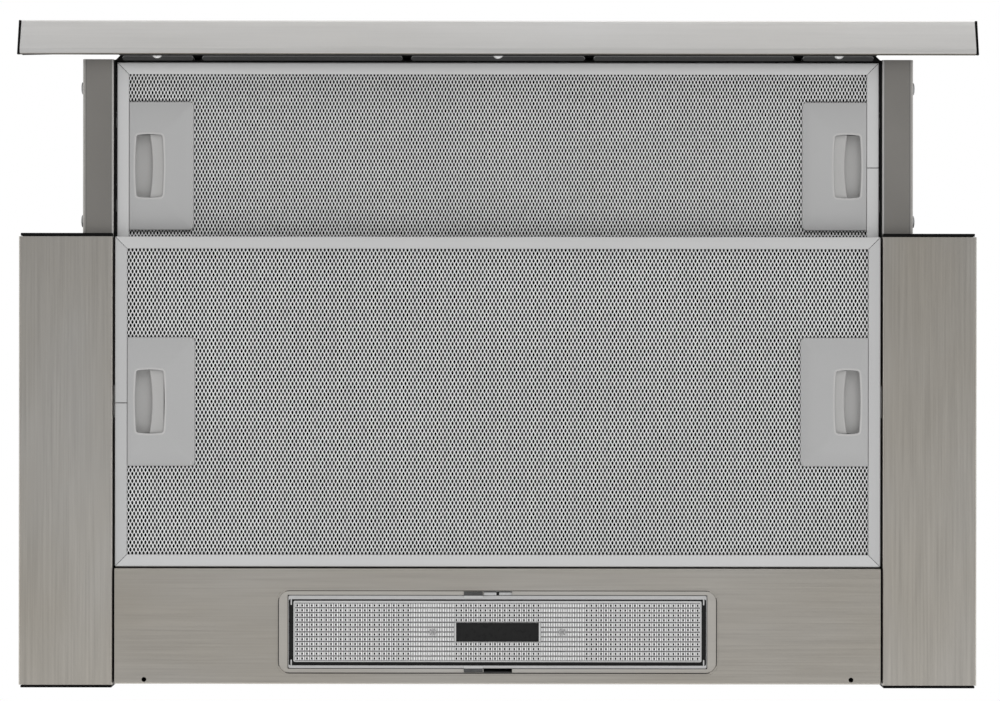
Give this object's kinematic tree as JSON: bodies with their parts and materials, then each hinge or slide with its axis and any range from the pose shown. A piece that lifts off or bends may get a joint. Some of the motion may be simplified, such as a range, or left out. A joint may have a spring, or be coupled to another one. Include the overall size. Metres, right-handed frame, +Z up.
{
  "type": "telescopic range hood",
  "caption": "Telescopic range hood for a wall cabinet: steel casing, side covers, grease filters with sprung latches, lamp panel, blower, and a filter drawer that pulls out.",
  "frame": {"origin": "centre of the whole hood in plan, with the drawer pulled out, at the height of the lip of the fascia, its lowest edge", "axes": "+Z up, +Y towards the wall, -Y towards the cook, +X to the right of someone who stands in front of the hood"},
  "size_m": [0.598, 0.4158, 0.2074],
  "materials": {
    "brushed_steel": "fine brushed stainless steel, lightly warm",
    "grey_steel": "satin silver-grey coated sheet steel",
    "zinc": "galvanised sheet steel",
    "casing_steel": "dark grey powder coat",
    "aluminium": "satin aluminium, folded frame and expanded mesh",
    "black_plastic": "fine-textured black moulding",
    "grey_plastic": "satin silver-grey moulding",
    "pale_slider": "satin pale grey moulding",
    "white_plastic": "smooth white moulding",
    "clear_plastic": "clear textured cover moulded in small pyramids",
    "bulb_glass": "opal glass",
    "screw_steel": "bright zinc-plated steel"
  },
  "bodies": {
    "hood_body": {"casing": "casing_steel", "lamp_panel": "grey_steel", "lamp_tray": "white_plastic", "blower_scroll": "grey_plastic", "blower_inlet_plate": "grey_plastic", "motor": "zinc", "outlet_ring": "black_plastic", "outlet_collar": "black_plastic", "flap_spindle": "screw_steel", "terminal_box": "white_plastic", "cable_gland": "black_plastic", "capacitor": "white_plastic", "light_switch_body": "grey_plastic", "speed_switch_body": "grey_plastic", "drawer_switch": "black_plastic", "side_cover_left": "grey_steel", "front_cap_left": "black_plastic", "rear_cap_left": "black_plastic", "rail_guide_left": "zinc", "lamp_holder_left": "white_plastic", "bulb_left": "bulb_glass", "side_cover_right": "grey_steel", "front_cap_right": "black_plastic", "rear_cap_right": "black_plastic", "rail_guide_right": "zinc", "lamp_holder_right": "white_plastic", "bulb_right": "bulb_glass", "rear_filter_frame": "aluminium", "rear_filter_mesh": "aluminium", "rear_filter_core": "aluminium", "rear_latch_housing_left": "grey_plastic", "rear_latch_housing_right": "grey_plastic"},
    "drawer": {"drawer_frame": "black_plastic", "drawer_top_cover": "casing_steel", "fascia": "brushed_steel", "fascia_cap_left": "black_plastic", "fascia_cap_right": "black_plastic", "fascia_screw_left": "screw_steel", "fascia_screw_centre": "screw_steel", "fascia_screw_right": "screw_steel", "drawer_rail_left": "grey_steel", "drawer_rail_right": "grey_steel", "front_filter_frame": "aluminium", "front_filter_mesh": "aluminium", "front_filter_core": "aluminium", "front_latch_housing_left": "grey_plastic", "front_latch_housing_right": "grey_plastic"},
    "front_latch_left": {"front_latch_left": "pale_slider"},
    "front_latch_right": {"front_latch_right": "pale_slider"},
    "rear_latch_left": {"rear_latch_left": "pale_slider"},
    "rear_latch_right": {"rear_latch_right": "pale_slider"},
    "impeller": {"impeller": "black_plastic"},
    "flap_front": {"flap_front": "black_plastic"},
    "flap_rear": {"flap_rear": "black_plastic"},
    "lamp_lens": {"lamp_lens": "clear_plastic"},
    "light_switch_knob": {"light_switch_knob": "black_plastic"},
    "speed_switch_knob": {"speed_switch_knob": "black_plastic"},
    "drawer_switch_plunger": {"drawer_switch_plunger": "white_plastic"}
  },
  "joints": [
    {"name": "drawer_slide", "type": "slide", "parent": "hood_body", "child": "drawer", "axis": [0, 1, 0], "range_m": [0, 0.1105]},
    {"name": "front_latch_left_slide", "type": "slide", "parent": "drawer", "child": "front_latch_left", "axis": [1, 0, 0], "range_m": [0, 0.006], "stiffness_N_per_m": 250, "springref_m": -0.004},
    {"name": "front_latch_right_slide", "type": "slide", "parent": "drawer", "child": "front_latch_right", "axis": [-1, 0, 0], "range_m": [0, 0.006], "stiffness_N_per_m": 250, "springref_m": -0.004},
    {"name": "rear_latch_left_slide", "type": "slide", "parent": "hood_body", "child": "rear_latch_left", "axis": [1, 0, 0], "range_m": [0, 0.006], "stiffness_N_per_m": 250, "springref_m": -0.004},
    {"name": "rear_latch_right_slide", "type": "slide", "parent": "hood_body", "child": "rear_latch_right", "axis": [-1, 0, 0], "range_m": [0, 0.006], "stiffness_N_per_m": 250, "springref_m": -0.004},
    {"name": "impeller_spin", "type": "hinge", "parent": "hood_body", "child": "impeller", "pos_m": [0, 0.0293, 0.1061], "axis": [1, 0, 0], "continuous": true},
    {"name": "flap_front_hinge", "type": "hinge", "parent": "hood_body", "child": "flap_front", "pos_m": [0, 0.0763, 0.1866], "axis": [-1, 0, 0], "range_deg": [0, 78]},
    {"name": "flap_rear_hinge", "type": "hinge", "parent": "hood_body", "child": "flap_rear", "pos_m": [0, 0.0763, 0.1866], "axis": [1, 0, 0], "range_deg": [0, 78]},
    {"name": "lens_release", "type": "slide", "parent": "hood_body", "child": "lamp_lens", "axis": [0, 0, -1], "range_m": [0, 0.03]},
    {"name": "light_switch_slide", "type": "slide", "parent": "hood_body", "child": "light_switch_knob", "axis": [1, 0, 0], "range_m": [0, 0.005]},
    {"name": "speed_switch_slide", "type": "slide", "parent": "hood_body", "child": "speed_switch_knob", "axis": [1, 0, 0], "range_m": [0, 0.015]},
    {"name": "plunger_press", "type": "slide", "parent": "hood_body", "child": "drawer_switch_plunger", "axis": [0, 1, 0], "range_m": [0, 0.0015], "stiffness_N_per_m": 200, "springref_m": -0.002}
  ]
}
